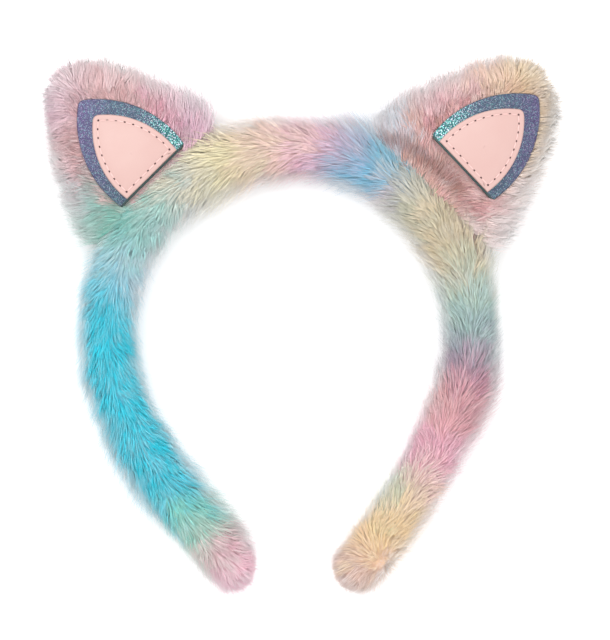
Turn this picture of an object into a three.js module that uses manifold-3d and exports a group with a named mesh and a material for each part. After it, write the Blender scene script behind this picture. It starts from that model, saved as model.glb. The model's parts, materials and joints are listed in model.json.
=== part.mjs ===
// Cat ears headband: a plush covered band that closes round the head like a horseshoe, and two stuffed plush
// ears, each with a glitter panel and a stitched pink panel on its front.
// Millimetres. The band lies on its back: +Z is the front of the ears, and +Y runs from the open ends to the ears.

import * as THREE from 'three';
import { mergeVertices } from 'three/addons/utils/BufferGeometryUtils.js';
import Module from 'manifold-3d';

const wasm = await Module();
wasm.setup();

// Band, measured on the middle line of the plush tube
const ARCH_RADIUS = 70;
const ARCH_SPREAD = 112; // degrees from the crown to where each flatter leg starts
const RIGHT_LEG_LENGTH = 77.2;
const RIGHT_LEG_BEND = 18.6; // degrees that the leg turns in on its way to the tip
const LEFT_LEG_LENGTH = 79.1;
const LEFT_LEG_BEND = 24;
const BACKING_WIDTH = 17; // seen from the front, without the locks
const BACKING_DEPTH = 20; // front to back, without the locks
const TIP_LENGTH = 6; // rounded end past the last full section
const REST_PRESS = 1.2; // how much of the pile is pressed flat on the surface
const BACK_SQUARENESS = 0.75; // 1 leaves the back as round as the front

// Locks of the deep pile
const PILE_HEIGHT = 3; // from the backing to the tip of a lock
const LOCK_WIDTH = 11.5;
const LOCK_THICKNESS = 4.4;
const BAND_LOCK_LENGTH = 22;
const BAND_LOCK_PITCH = 16.5; // from one row of locks to the next
const BAND_LOCK_COLUMNS = 5;
const BAND_LOCK_FIRST = -24; // degrees round the band, where 0 is its outer side and 90 its front
const BAND_LOCK_LAST = 204;
const BAND_LOCK_SPLAY = 16; // degrees that the locks on the sides turn away from the band's direction
const BAND_LOCK_SEED = 7;
const EAR_LOCK_LENGTH = 18;
const EAR_LOCK_PITCH = 14;
const EAR_LOCK_SPACING = 15; // from one lock to the next round the ear
const EAR_LOCK_SPLAY = 50;
const FEWEST_EAR_LOCKS = 5; // in a row round the ear
const END_SHARE = 0.8; // of a lock's length left free before an end

// How much locks vary: radians to both sides, shares of the pitch to both sides, and shares of the length and the lift
const BAND_LOCK_SWAY = 0.12;
const EAR_LOCK_SWAY = 0.15;
const PITCH_SHIFT = 0.15;
const SHORTEST_LOCK = 0.85;
const LONGEST_LOCK = 1.1;
const LOWEST_LIFT = 0.8;

// Ears, whose reach is measured from the middle line of the band to the tip of the backing
const EAR_WIDTH = 66;
const EAR_DEPTH = 18;
const EAR_FORWARD = 1; // how far the ears are set in front of the middle of the band
const RIGHT_EAR_ANGLE = 45; // degrees from +X, seen from the front
const RIGHT_EAR_REACH = 66;
const LEFT_EAR_ANGLE = 134.5;
const LEFT_EAR_REACH = 60;

// Panels, whose seat is measured from the middle line of the band to the straight edge of the glitter panel
const PANEL_WIDTH = 34;
const PANEL_HEIGHT = 40.8; // to where the curved sides would meet
const RIGHT_PANEL_SEAT = 20.4;
const LEFT_PANEL_SEAT = 8.8;
const SIDE_BORDER = 3.6; // glitter left showing beside the pink panel
const BASE_BORDER = 0.9;
const TIP_BORDER = 8;
const GLITTER_THICKNESS = 1;
const PINK_THICKNESS = 1.2;
const PANEL_TIP_RADIUS = 2.4;
const GLITTER_ROUNDNESS = 0.92; // radius of the curved sides as a share of the line from corner to tip
const PINK_ROUNDNESS = 0.98;
const FACE_MIDDLE = 0.38; // height of the middle of a panel's face as a share of its height
const SEAT_GAP = 0.3; // between a piece and what carries it

// Each ear in its own frame: lateral runs to the clockwise side of its axis
const EARS = [
  {
    name: 'right',
    angle: RIGHT_EAR_ANGLE,
    reach: RIGHT_EAR_REACH,
    panelSeat: RIGHT_PANEL_SEAT,
    rootShift: 0, // lateral shifts, as shares of the ear's width
    tipShift: -0.025,
    panelShift: 0.042,
    panelTurn: -1.6, // degrees against the ear's axis
    color: 0xeccbbf,
  },
  {
    name: 'left',
    angle: LEFT_EAR_ANGLE,
    reach: LEFT_EAR_REACH,
    panelSeat: LEFT_PANEL_SEAT,
    rootShift: 0.023,
    tipShift: 0.075,
    panelShift: 0.061,
    panelTurn: 0.2,
    color: 0xe9bfc9,
  },
];

// Sections of an ear from its root inside the band to its tip, as shares of its length, width and depth
const EAR_SECTIONS = [
  { rise: 0, width: 1, depth: 0.62 },
  { rise: 0.14, width: 0.985, depth: 0.78 },
  { rise: 0.25, width: 0.94, depth: 0.93 },
  { rise: 0.37, width: 0.868, depth: 1 },
  { rise: 0.48, width: 0.802, depth: 0.985 },
  { rise: 0.59, width: 0.716, depth: 0.93 },
  { rise: 0.7, width: 0.612, depth: 0.84 },
  { rise: 0.81, width: 0.495, depth: 0.72 },
  { rise: 0.9, width: 0.375, depth: 0.58 },
  { rise: 0.96, width: 0.24, depth: 0.4 },
  { rise: 1, width: 0, depth: 0 },
];

// Rings of one lock from its root under the backing to its tip, as shares of its length, lift, width and thickness
const LOCK_RINGS = [
  { run: 0, lift: -0.9, width: 0, thickness: 0 },
  { run: 0.08, lift: -0.4, width: 0.82, thickness: 0.9 },
  { run: 0.52, lift: 0.4, width: 1, thickness: 0.72 },
  { run: 1, lift: 1, width: 0, thickness: 0 },
];

// A lock that has no room at its full length is kept at a shorter one
const LOCK_FITS = [1, 0.75, 0.5];

// Rings of a panel from the middle of its face over its rim to the middle of its back
const PANEL_RINGS = [
  { spread: 0, height: 1 },
  { spread: 0.55, height: 1 },
  { spread: 0.985, height: 1 },
  { spread: 1, height: 0.75 },
  { spread: 1, height: 0 },
  { spread: 0.55, height: 0 },
  { spread: 0, height: 0 },
];

const UP = new THREE.Vector3(0, 0, 1);
const BAND_MIDDLE = BACKING_DEPTH / 2 + PILE_HEIGHT - REST_PRESS; // height over the surface
const EAR_MIDDLE = BAND_MIDDLE + EAR_FORWARD;
const EAR_ROOT = ARCH_RADIUS - BACKING_WIDTH / 4; // an ear's first section, inside the band
const LOCK_SIDES = 4;
const { degToRad, clamp, lerp } = THREE.MathUtils;

// A closed body whose rows run from one pole to the other, with a ring of corners in each row between
function ringBody(rows, sides, place) {
  const body = new THREE.SphereGeometry(1, sides, rows - 1);
  const corners = body.getAttribute('position');
  for (let i = 0; i < corners.count; i += 1) {
    const row = Math.floor(i / (sides + 1));
    const side = (i % (sides + 1)) % sides;
    const corner = place(row, side);
    corners.setXYZ(i, corner.x, corner.y, corner.z);
  }
  body.deleteAttribute('normal');
  body.deleteAttribute('uv');
  return mergeVertices(body);
}

function toSolid(geometry) {
  return new wasm.Manifold(
    new wasm.Mesh({
      numProp: 3,
      vertProperties: new Float32Array(geometry.getAttribute('position').array),
      triVerts: new Uint32Array(geometry.index.array),
    }),
  );
}

function toGeometry(solid) {
  const mesh = solid.getMesh();
  const geometry = new THREE.BufferGeometry();
  geometry.setAttribute('position', new THREE.BufferAttribute(mesh.vertProperties, 3));
  geometry.setIndex(new THREE.BufferAttribute(mesh.triVerts, 1));
  return geometry;
}

function namedMesh(name, geometry, finish) {
  const mesh = new THREE.Mesh(geometry, new THREE.MeshStandardMaterial(finish));
  mesh.name = name;
  return mesh;
}

// Middle line of the band: right leg from its tip, round arch, left leg to its tip
function middleLine() {
  const rightEnd = degToRad(90 - ARCH_SPREAD);
  const leftEnd = degToRad(90 + ARCH_SPREAD);
  const rightBend = degToRad(RIGHT_LEG_BEND);
  const leftBend = degToRad(LEFT_LEG_BEND);
  const line = new THREE.CurvePath();
  line.add(tangentArc(rightEnd, RIGHT_LEG_LENGTH / rightBend, rightEnd - rightBend, rightEnd));
  line.add(new THREE.EllipseCurve(0, 0, ARCH_RADIUS, ARCH_RADIUS, rightEnd, leftEnd));
  line.add(tangentArc(leftEnd, LEFT_LEG_LENGTH / leftBend, leftEnd, leftEnd + leftBend));
  return line;
}

// An arc of a wider circle that touches the arch from inside at the angle given
function tangentArc(touch, radius, from, to) {
  const shift = ARCH_RADIUS - radius;
  return new THREE.EllipseCurve(shift * Math.cos(touch), shift * Math.sin(touch), radius, radius, from, to);
}

const LINE = middleLine();
const LINE_LENGTH = LINE.getLength();

// Point, direction and outward side of the band at a distance along its middle line, straight on past its ends
function bandFrame(distance) {
  const inside = clamp(distance, 0, LINE_LENGTH);
  const spot = LINE.getPoint(inside / LINE_LENGTH);
  const heading = LINE.getTangent(inside / LINE_LENGTH);
  const ahead = new THREE.Vector3(heading.x, heading.y, 0).normalize();
  const middle = new THREE.Vector3(spot.x, spot.y, BAND_MIDDLE).addScaledVector(ahead, distance - inside);
  return { middle, ahead, outward: ahead.clone().cross(UP) };
}

// How much of the full section is left at a distance along the band: less than all only in its rounded ends
function bandFullness(distance) {
  const past = Math.max(0, -distance, distance - LINE_LENGTH) / TIP_LENGTH;
  return Math.sqrt(Math.max(0, 1 - past * past));
}

// Skin of the band's backing, grown by a margin where something is cut clear of it. Round is 0 on the outer side and
// a quarter turn on the front. The back is squarer, and pressed flat on the surface
function bandSkin(distance, round, margin = 0) {
  const { middle, outward } = bandFrame(distance);
  const fullness = bandFullness(distance);
  const front = Math.sin(round) > 0;
  const across = Math.sign(Math.cos(round)) * Math.abs(Math.cos(round)) ** (front ? 1 : BACK_SQUARENESS);
  const halfDepth = front ? BACKING_DEPTH / 2 : BAND_MIDDLE + REST_PRESS;
  const corner = middle.addScaledVector(outward, across * (BACKING_WIDTH / 2 + margin) * fullness);
  corner.z = Math.max(-margin, corner.z + Math.sin(round) * (halfDepth + margin) * fullness);
  return corner;
}

// Direction of an ear's axis and of its clockwise side
function earFrame(ear) {
  const angle = degToRad(ear.angle);
  const ahead = new THREE.Vector3(Math.cos(angle), Math.sin(angle), 0);
  return { ahead, lateral: ahead.clone().cross(UP) };
}

// Half width, half depth and lateral middle of an ear at a distance from the arch's centre
function earSection(ear, distance) {
  const share = clamp((distance - EAR_ROOT) / (ARCH_RADIUS + ear.reach - EAR_ROOT), 0, 1);
  const last = EAR_SECTIONS.findIndex((section) => section.rise >= share);
  const above = EAR_SECTIONS[Math.max(last, 1)];
  const below = EAR_SECTIONS[Math.max(last, 1) - 1];
  const between = (share - below.rise) / (above.rise - below.rise);
  return {
    halfWidth: lerp(below.width, above.width, between) * (EAR_WIDTH / 2),
    halfDepth: lerp(below.depth, above.depth, between) * (EAR_DEPTH / 2),
    middle: lerp(ear.rootShift, ear.tipShift, share) * EAR_WIDTH,
  };
}

function earPoint(ear, distance, lateral, height) {
  const frame = earFrame(ear);
  const point = frame.ahead.multiplyScalar(distance).addScaledVector(frame.lateral, lateral);
  point.z = height;
  return point;
}

// Skin of an ear's backing, grown by a margin where something is cut clear of it
function earSkin(ear, distance, round, margin = 0) {
  const { halfWidth, halfDepth, middle } = earSection(ear, distance);
  const growth = halfWidth > 0 ? margin : 0;
  const lateral = middle + (halfWidth + growth) * Math.cos(round);
  return earPoint(ear, distance, lateral, EAR_MIDDLE + (halfDepth + growth) * Math.sin(round));
}

// Height of an ear's front over a place given by its distance and lateral
function earFront(ear, distance, lateral) {
  const { halfWidth, halfDepth, middle } = earSection(ear, distance);
  const across = (lateral - middle) / halfWidth;
  return EAR_MIDDLE + halfDepth * Math.sqrt(Math.max(0, 1 - across * across));
}

// A skin at one place: the point, how long a step ahead and a step round are there, and the outward normal, which is
// nothing past a rounded end
function surfaceAt(skin, distance, round) {
  const step = 0.01;
  const ahead = skin(distance + step, round).sub(skin(distance - step, round)).divideScalar(2 * step);
  const turn = skin(distance, round + step).sub(skin(distance, round - step)).divideScalar(2 * step);
  const out = ahead.clone().cross(turn);
  if (out.length() < step) {
    out.set(0, 0, 0);
  }
  return { root: skin(distance, round), ahead, turn, out: out.normalize() };
}

// One lock: a keeled leaf that starts under the skin at a place, runs over it in the direction of the heading, which
// is an angle from straight ahead towards round, and lifts off it to its tip
function lockBody(skin, { distance, round, heading, length, lift }) {
  const start = surfaceAt(skin, distance, round);
  const stepAhead = (Math.cos(heading) * length) / start.ahead.length();
  const stepRound = (Math.sin(heading) * length) / Math.max(start.turn.length(), BACKING_WIDTH / 4);
  const run = start.ahead.clone().multiplyScalar(stepAhead).addScaledVector(start.turn, stepRound).normalize();
  return ringBody(LOCK_RINGS.length, LOCK_SIDES, (row, corner) => {
    const ring = LOCK_RINGS[row];
    const angle = (corner / LOCK_SIDES) * 2 * Math.PI;
    const { root, out } = surfaceAt(skin, distance + ring.run * stepAhead, round + ring.run * stepRound);
    const side = run.clone().cross(out).normalize();
    return root
      .addScaledVector(out, ring.lift * lift + 0.5 * ring.thickness * LOCK_THICKNESS * Math.sin(angle))
      .addScaledVector(side, 0.5 * ring.width * LOCK_WIDTH * Math.cos(angle));
  });
}

// The longest lock at a place that has room, or nothing
function fittedLock(skin, place, hasRoom) {
  for (const fit of LOCK_FITS) {
    const lock = lockBody(skin, { ...place, length: place.length * fit });
    if (everyCorner(lock, hasRoom)) {
      return [lock];
    }
  }
  return [];
}

// Every corner of a lock has to pass the test for the lock to be kept
function everyCorner(geometry, test) {
  const corners = geometry.getAttribute('position');
  const corner = new THREE.Vector3();
  for (let i = 0; i < corners.count; i += 1) {
    if (!test(corner.fromBufferAttribute(corners, i))) {
      return false;
    }
  }
  return true;
}

// A backing with its locks, which are cut clear of the rooms of other pieces
function furred(backing, locks, rooms) {
  const pile = locks.map(toSolid).reduce((whole, lock) => whole.add(lock));
  const trimmed = rooms.reduce((rest, room) => rest.subtract(room), pile);
  return toSolid(backing).add(trimmed);
}

function offSurface(point) {
  return point.z > SEAT_GAP;
}

function offEar(ear, point) {
  const { ahead, lateral } = earFrame(ear);
  const distance = point.dot(ahead);
  if (distance < EAR_ROOT || distance > ARCH_RADIUS + ear.reach) {
    return true;
  }
  const { halfWidth, halfDepth, middle } = earSection(ear, distance);
  const across = (point.dot(lateral) - middle) / halfWidth;
  const depth = (point.z - EAR_MIDDLE) / halfDepth;
  return across * across + depth * depth > 1;
}

function offBand(point, margin) {
  const across = (Math.hypot(point.x, point.y) - ARCH_RADIUS) / (BACKING_WIDTH / 2 + margin);
  const depth = (point.z - BAND_MIDDLE) / (BACKING_DEPTH / 2 + margin);
  return across * across + depth * depth > 1;
}

// Rows of locks combed from the right tip round to the left tip, parted along the front of the band. The first row
// is combed the other way, over the rounded right tip
function bandLocks() {
  const vary = variation(BAND_LOCK_SEED);
  const firstRound = degToRad(BAND_LOCK_FIRST);
  const lastRound = degToRad(BAND_LOCK_LAST);
  const parting = Math.PI / 2;
  const inset = BAND_LOCK_LENGTH * END_SHARE;
  const rowCount = Math.round((LINE_LENGTH - 2 * inset) / BAND_LOCK_PITCH);
  const hasRoom = (point) =>
    offSurface(point) && (!offBand(point, 0) || EARS.every((ear) => offEar(ear, point)));
  const locks = [];
  for (let row = -1; row <= rowCount; row += 1) {
    const distance = lerp(inset, LINE_LENGTH - inset, Math.max(0, row) / rowCount);
    const shift = row % 2 ? 0.5 : 0;
    for (let column = 0; column < BAND_LOCK_COLUMNS - 2 * shift; column += 1) {
      const round = lerp(firstRound, lastRound, (column + shift) / (BAND_LOCK_COLUMNS - 1));
      const sway = lerp(-BAND_LOCK_SWAY, BAND_LOCK_SWAY, vary());
      const spread = ((round - parting) / parting) * degToRad(BAND_LOCK_SPLAY) + sway;
      const place = {
        distance: distance + BAND_LOCK_PITCH * lerp(-PITCH_SHIFT, PITCH_SHIFT, vary()),
        round,
        heading: row < 0 ? Math.PI - spread : spread,
        length: BAND_LOCK_LENGTH * lerp(SHORTEST_LOCK, LONGEST_LOCK, vary()),
        lift: PILE_HEIGHT * lerp(LOWEST_LIFT, 1, vary()),
      };
      locks.push(...fittedLock(bandSkin, place, hasRoom));
    }
  }
  return locks;
}

function bandBody(margin) {
  const sides = 12;
  const capRows = 3;
  const middleRows = 36;
  const stops = [];
  for (let row = 0; row < capRows; row += 1) {
    stops.push(-TIP_LENGTH * Math.cos((row / capRows) * (Math.PI / 2)));
  }
  for (let row = 0; row <= middleRows; row += 1) {
    stops.push((row / middleRows) * LINE_LENGTH);
  }
  for (let row = capRows - 1; row >= 0; row -= 1) {
    stops.push(LINE_LENGTH + TIP_LENGTH * Math.cos((row / capRows) * (Math.PI / 2)));
  }
  return ringBody(stops.length, sides, (row, side) =>
    bandSkin(stops[row], ((side + 0.5) / sides) * 2 * Math.PI, margin),
  );
}

// The outer shell alone, without the small hollows that crossing locks shut in
function outerShell(solid) {
  return solid.decompose().reduce((outer, shell) => (shell.volume() > outer.volume() ? shell : outer));
}

// Repeatable variation from lock to lock
function variation(seed) {
  let state = seed;
  return () => {
    state = (state * 16807) % 2147483647;
    return state / 2147483647;
  };
}

// Locks of an ear, combed off the panel to the sides and up to the tip
function earLocks(ear) {
  const vary = variation(Math.round(ear.angle * 10));
  const skin = (distance, round) => earSkin(ear, distance, round);
  const outline = panelOutline(glitterSize());
  const hasRoom = (point) =>
    offSurface(point) && offBand(point, PILE_HEIGHT + SEAT_GAP) && offPanel(ear, point, outline);
  const first = ARCH_RADIUS + BACKING_WIDTH / 2 + PILE_HEIGHT;
  const last = ARCH_RADIUS + ear.reach - EAR_LOCK_LENGTH * END_SHARE;
  const rowCount = Math.round((last - first) / EAR_LOCK_PITCH);
  const locks = [];
  for (let row = 0; row <= rowCount; row += 1) {
    const distance = lerp(first, last, row / rowCount);
    const { halfWidth, halfDepth } = earSection(ear, distance);
    const girth = 2 * Math.PI * Math.sqrt((halfWidth * halfWidth + halfDepth * halfDepth) / 2);
    const columns = Math.max(FEWEST_EAR_LOCKS, Math.round(girth / EAR_LOCK_SPACING));
    for (let column = 0; column < columns; column += 1) {
      const round = ((column + 0.5 * (row % 2)) / columns) * 2 * Math.PI;
      const place = {
        distance,
        round,
        heading: -Math.sin(2 * round) * degToRad(EAR_LOCK_SPLAY) + lerp(-EAR_LOCK_SWAY, EAR_LOCK_SWAY, vary()),
        length: EAR_LOCK_LENGTH * lerp(SHORTEST_LOCK, LONGEST_LOCK, vary()),
        lift: PILE_HEIGHT * lerp(LOWEST_LIFT, 1, vary()),
      };
      locks.push(...fittedLock(skin, place, hasRoom));
    }
  }
  return locks;
}

function offPanel(ear, point, outline) {
  if (point.z < EAR_MIDDLE) {
    return true;
  }
  const { ahead, lateral } = earFrame(ear);
  const turn = degToRad(-ear.panelTurn);
  const spot = new THREE.Vector2(
    point.dot(lateral) - ear.panelShift * EAR_WIDTH,
    point.dot(ahead) - ARCH_RADIUS - ear.panelSeat,
  ).rotateAround(new THREE.Vector2(), turn);
  return !insideOutline(spot, outline);
}

function insideOutline(spot, outline) {
  let inside = false;
  outline.forEach((from, i) => {
    const to = outline[(i + 1) % outline.length];
    const crosses = from.y > spot.y !== to.y > spot.y;
    if (crosses && spot.x < from.x + ((to.x - from.x) * (spot.y - from.y)) / (to.y - from.y)) {
      inside = !inside;
    }
  });
  return inside;
}

function earBody(ear, margin) {
  const sides = 18;
  const tip = ARCH_RADIUS + ear.reach;
  return ringBody(EAR_SECTIONS.length + 1, sides, (row, side) => {
    const section = EAR_SECTIONS[Math.max(0, row - 1)];
    if (row === 0) {
      return earPoint(ear, EAR_ROOT, ear.rootShift * EAR_WIDTH, EAR_MIDDLE);
    }
    return earSkin(ear, lerp(EAR_ROOT, tip, section.rise), (side / sides) * 2 * Math.PI, margin);
  });
}

// Outline of a panel: straight edge, two round sides and a rounded tip. It is 0, 0 at the middle of the straight edge
function panelOutline({ width, height, roundness }) {
  const half = width / 2;
  const chord = Math.hypot(half, height);
  const radius = chord * roundness;
  const reach = Math.sqrt(radius * radius - (chord * chord) / 4);
  const centre = new THREE.Vector2(half / 2 - (height / chord) * reach, height / 2 - (half / chord) * reach);
  const tipY = centre.y + Math.sqrt((radius - PANEL_TIP_RADIUS) ** 2 - centre.x ** 2);
  const start = Math.atan2(-centre.y, half - centre.x);
  const end = Math.atan2(tipY - centre.y, -centre.x);
  const right = new THREE.EllipseCurve(centre.x, centre.y, radius, radius, start, end);
  const tip = new THREE.EllipseCurve(0, tipY, PANEL_TIP_RADIUS, PANEL_TIP_RADIUS, end, Math.PI - end);
  const left = new THREE.EllipseCurve(-centre.x, centre.y, radius, radius, Math.PI - end, Math.PI - start);
  const base = new THREE.LineCurve(new THREE.Vector2(-half, 0), new THREE.Vector2(half, 0));
  return [
    ...base.getPoints(6).slice(0, -1),
    ...right.getPoints(9).slice(0, -1),
    ...tip.getPoints(3).slice(0, -1),
    ...left.getPoints(9).slice(0, -1),
  ];
}

function glitterSize() {
  return { width: PANEL_WIDTH, height: PANEL_HEIGHT, roundness: GLITTER_ROUNDNESS, base: 0 };
}

function pinkSize() {
  return {
    width: PANEL_WIDTH - 2 * SIDE_BORDER,
    height: PANEL_HEIGHT - BASE_BORDER - TIP_BORDER,
    roundness: PINK_ROUNDNESS,
    base: BASE_BORDER,
  };
}

// A panel that follows the ear's front at a height over it, grown by a margin where something is cut clear of it
function panelBody(ear, size, lift, thickness, margin = 0) {
  const outline = panelOutline(size);
  const centre = new THREE.Vector2(0, size.height * FACE_MIDDLE);
  const turn = degToRad(ear.panelTurn);
  const growth = 1 + margin / centre.y;
  return ringBody(PANEL_RINGS.length, outline.length, (row, side) => {
    const ring = PANEL_RINGS[row];
    const spot = centre.clone().lerp(outline[side], ring.spread * growth);
    spot.y += size.base;
    spot.rotateAround(new THREE.Vector2(), turn);
    const lateral = spot.x + ear.panelShift * EAR_WIDTH;
    const distance = spot.y + ARCH_RADIUS + ear.panelSeat;
    return earPoint(ear, distance, lateral, earFront(ear, distance, lateral) + lift + ring.height * thickness);
  });
}

const headband = new THREE.Group();
const earRooms = EARS.map((ear) => toSolid(earBody(ear, SEAT_GAP)));
const bandFur = outerShell(furred(bandBody(0), bandLocks(), earRooms));
const seatCut = toSolid(bandBody(SEAT_GAP));
const pileRoom = toSolid(bandBody(PILE_HEIGHT + SEAT_GAP));
headband.add(namedMesh('fur_band', toGeometry(bandFur), { color: 0xb4d6dc, roughness: 1 }));

for (const ear of EARS) {
  const panelRoom = toSolid(panelBody(ear, glitterSize(), 0, 3 * PILE_HEIGHT, SEAT_GAP));
  const whole = furred(earBody(ear, 0), earLocks(ear), [pileRoom]);
  const fur = outerShell(whole.subtract(seatCut).subtract(panelRoom));
  headband.add(namedMesh(`fur_ear_${ear.name}`, toGeometry(fur), { color: ear.color, roughness: 1 }));
  const glitter = panelBody(ear, glitterSize(), SEAT_GAP, GLITTER_THICKNESS);
  const overGlitter = SEAT_GAP + GLITTER_THICKNESS + SEAT_GAP;
  const pink = panelBody(ear, pinkSize(), overGlitter, PINK_THICKNESS);
  headband.add(
    namedMesh(`glitter_panel_${ear.name}`, glitter, { color: 0x56688f, roughness: 0.35, metalness: 0.5 }),
    namedMesh(`pink_panel_${ear.name}`, pink, { color: 0xf5ccc4, roughness: 0.5 }),
  );
}

// The origin is on the surface, under the middle of the whole
const middle = new THREE.Box3().setFromObject(headband).getCenter(new THREE.Vector3());
headband.position.set(-middle.x, -middle.y, 0);

export default headband;
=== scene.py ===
"""Cat ears headband: a plush band and two plush ears, with glitter panels and stitched pink panels on their fronts."""

import json
import math

import bmesh
import bpy
import numpy as np
from bpy.props import FloatProperty, FloatVectorProperty, PointerProperty
from mathutils import Matrix, Vector
from mathutils.kdtree import KDTree


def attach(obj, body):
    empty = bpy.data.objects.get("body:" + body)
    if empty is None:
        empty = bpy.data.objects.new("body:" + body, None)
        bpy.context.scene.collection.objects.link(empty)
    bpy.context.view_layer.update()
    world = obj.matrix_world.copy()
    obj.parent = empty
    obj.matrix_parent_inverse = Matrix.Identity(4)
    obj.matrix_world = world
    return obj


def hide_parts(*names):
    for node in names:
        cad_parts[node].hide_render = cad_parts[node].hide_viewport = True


bl_info = {
    "name": "Cat Ears Headband",
    "version": (1, 0, 0),
    "blender": (4, 5, 0),
    "location": "3D View > Sidebar > Headband",
    "description": "Makes the plush, the panels and the stitches of a cat ears headband",
    "category": "Object",
}

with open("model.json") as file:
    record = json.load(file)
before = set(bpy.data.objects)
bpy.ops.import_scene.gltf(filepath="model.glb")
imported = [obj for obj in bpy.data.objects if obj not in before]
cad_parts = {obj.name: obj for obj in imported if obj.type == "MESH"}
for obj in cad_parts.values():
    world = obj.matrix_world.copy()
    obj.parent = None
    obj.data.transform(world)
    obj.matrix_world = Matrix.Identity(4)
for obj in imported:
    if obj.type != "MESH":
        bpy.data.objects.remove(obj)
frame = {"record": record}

MM = 0.001
TURN = 2 * math.pi
FRAME_SIZE = (610, 640)

# Each ear in its own frame, as in the part's source. Lateral runs to the clockwise side of its axis, and the shifts
# are shares of the ear's width. Lengths: side, mm from the arch's centre and how much longer the pile is there
# Crease: how strong the painted shade is along the fold where the band lies before the ear
EARS = {
    "right": dict(
        angle=45.0,
        reach=66.0,
        seat=20.4,
        root=0.0,
        tip=-0.025,
        shift=0.042,
        turn=-1.6,
        crease=0.75,
        lengths=[(1, 78, 0.5), (1, 114, 0.2), (-1, 80, 0.5)],
    ),
    "left": dict(
        angle=134.5,
        reach=60.0,
        seat=8.8,
        root=0.023,
        tip=0.075,
        shift=0.061,
        turn=0.2,
        crease=0.0,
        lengths=[(-1, 80, 0.4), (-1, 96, -0.1), (-1, 120, -0.4), (1, 76, 1.0)],
    ),
}

# Sections of an ear from its root inside the band to its tip: shares of its length, width and depth
EAR_SECTIONS = np.array(
    [
        (0.0, 1.0, 0.62),
        (0.14, 0.985, 0.78),
        (0.25, 0.94, 0.93),
        (0.37, 0.868, 1.0),
        (0.48, 0.802, 0.985),
        (0.59, 0.716, 0.93),
        (0.7, 0.612, 0.84),
        (0.81, 0.495, 0.72),
        (0.9, 0.375, 0.58),
        (0.96, 0.24, 0.4),
        (1.0, 0.0, 0.0),
    ]
)

# Dye on the band: mm along it from the right tip, side from -1 inner to 1 outer, reach in mm, dye
BAND_PATCHES = [
    (2, 0.0, 8, "clay"),
    (14, 0.3, 7, "apricot"),
    (22, -0.2, 7, "apricot"),
    (30, -1.0, 6, "mint"),
    (34, 0.4, 8, "peach"),
    (48, 0.0, 8, "rose"),
    (58, 0.2, 7, "rose"),
    (67, -0.2, 7, "clay"),
    (80, 0.1, 7, "berry"),
    (88, -0.6, 6, "dusk"),
    (97, 0.0, 8, "dusk"),
    (110, 0.1, 8, "sea"),
    (122, 0.3, 7, "sage"),
    (132, -0.4, 8, "sand"),
    (143, 0.4, 8, "sand"),
    (154, -0.5, 7, "sage"),
    (163, 0.3, 6, "sand"),
    (171, -1.0, 5, "blush"),
    (178, 0.2, 9, "sky"),
    (184, -0.7, 6, "sky"),
    (193, 0.1, 7, "mauve"),
    (205, -0.2, 8, "rose"),
    (213, 0.5, 6, "blush"),
    (219, -0.1, 7, "peach"),
    (228, 0.0, 8, "peach"),
    (240, 0.3, 8, "lemon"),
    (248, -0.6, 6, "lemon"),
    (254, 0.0, 6, "ivory"),
    (259, -1.0, 7, "mist"),
    (258, 0.5, 7, "ivory"),
    (269, -0.3, 6, "sea"),
    (277, 0.4, 10, "jade"),
    (287, 0.1, 6, "jade"),
    (286, -1.0, 9, "mist"),
    (296, 0.0, 6, "mist"),
    (302, -1.0, 5, "mist"),
    (304, 0.4, 6, "turquoise"),
    (310, 0.1, 10, "turquoise"),
    (322, -0.1, 9, "turquoise"),
    (338, 0.0, 10, "turquoise"),
    (355, 0.0, 10, "turquoise"),
    (372, 0.0, 10, "turquoise"),
    (388, 0.0, 9, "turquoise"),
    (401, -0.2, 6, "mint"),
    (410, 0.3, 7, "mint"),
    (419, 0.0, 6, "blush"),
    (428, 0.0, 8, "rose"),
]

# Longer or shorter pile on the band's sides: side, mm along it, reach in mm, share of the length
BAND_LENGTHS = [
    (-1, 24, 45, -0.5),
    (-1, 88, 22, -0.1),
    (-1, 238, 18, 0.75),
    (-1, 140, 30, 0.25),
    (-1, 330, 45, -0.22),
    (-1, 354, 10, -0.3),
    (-1, 398, 24, 0.45),
    (-1, 434, 12, -0.6),
    (1, 25, 36, -0.24),
    (1, 74, 12, 0.6),
    (1, 106, 20, -0.4),
    (1, 130, 8, 1.1),
    (1, 186, 7, 0.9),
    (1, 244, 8, 1.8),
    (1, 368, 24, 0.3),
    (1, 408, 18, -0.6),
]

# Dye on the ears: mm from the arch's centre, mm to the clockwise side, reach in mm, dye
EAR_PATCHES = {
    "right": [
        (79, -24, 5, "mist"),
        (86, -12, 6, "clay"),
        (85, 0, 6, "clay"),
        (86, 11, 5, "berry"),
        (83, 19, 6, "clay"),
        (84, 30, 9, "shell"),
        (97, -24, 7, "blush"),
        (98, -14, 6, "berry"),
        (93, 28, 7, "shell"),
        (102, 25, 7, "shell"),
        (112, -16, 7, "blush"),
        (108, 19, 7, "apricot"),
        (118, -12, 7, "blush"),
        (126, -6, 9, "apricot"),
        (122, 10, 8, "ivory"),
        (132, 5, 8, "sand"),
    ],
    "left": [
        (84, -25, 8, "jade"),
        (92, -30, 7, "sea"),
        (80, 4, 9, "blush"),
        (80, 26, 5, "mauve"),
        (90, 27, 8, "rose"),
        (97, -24, 7, "mauve"),
        (104, 22, 7, "rosewood"),
        (108, -13, 9, "rosewood"),
        (112, 17, 7, "blush"),
        (120, 10, 7, "blush"),
        (124, 0, 8, "mauve"),
    ],
}


def length(name, text, default):
    return FloatProperty(name=name, description=text, default=default, min=0.0, unit="LENGTH")


def angle(name, text, degrees):
    return FloatProperty(name=name, description=text, default=math.radians(degrees), subtype="ANGLE")


def share(name, text, default):
    return FloatProperty(name=name, description=text, default=default, min=0.0, max=1.0, subtype="FACTOR")


def colour(name, text, default):
    return FloatVectorProperty(name=name, description=text, default=default, min=0.0, max=1.0, size=3, subtype="COLOR")


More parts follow.
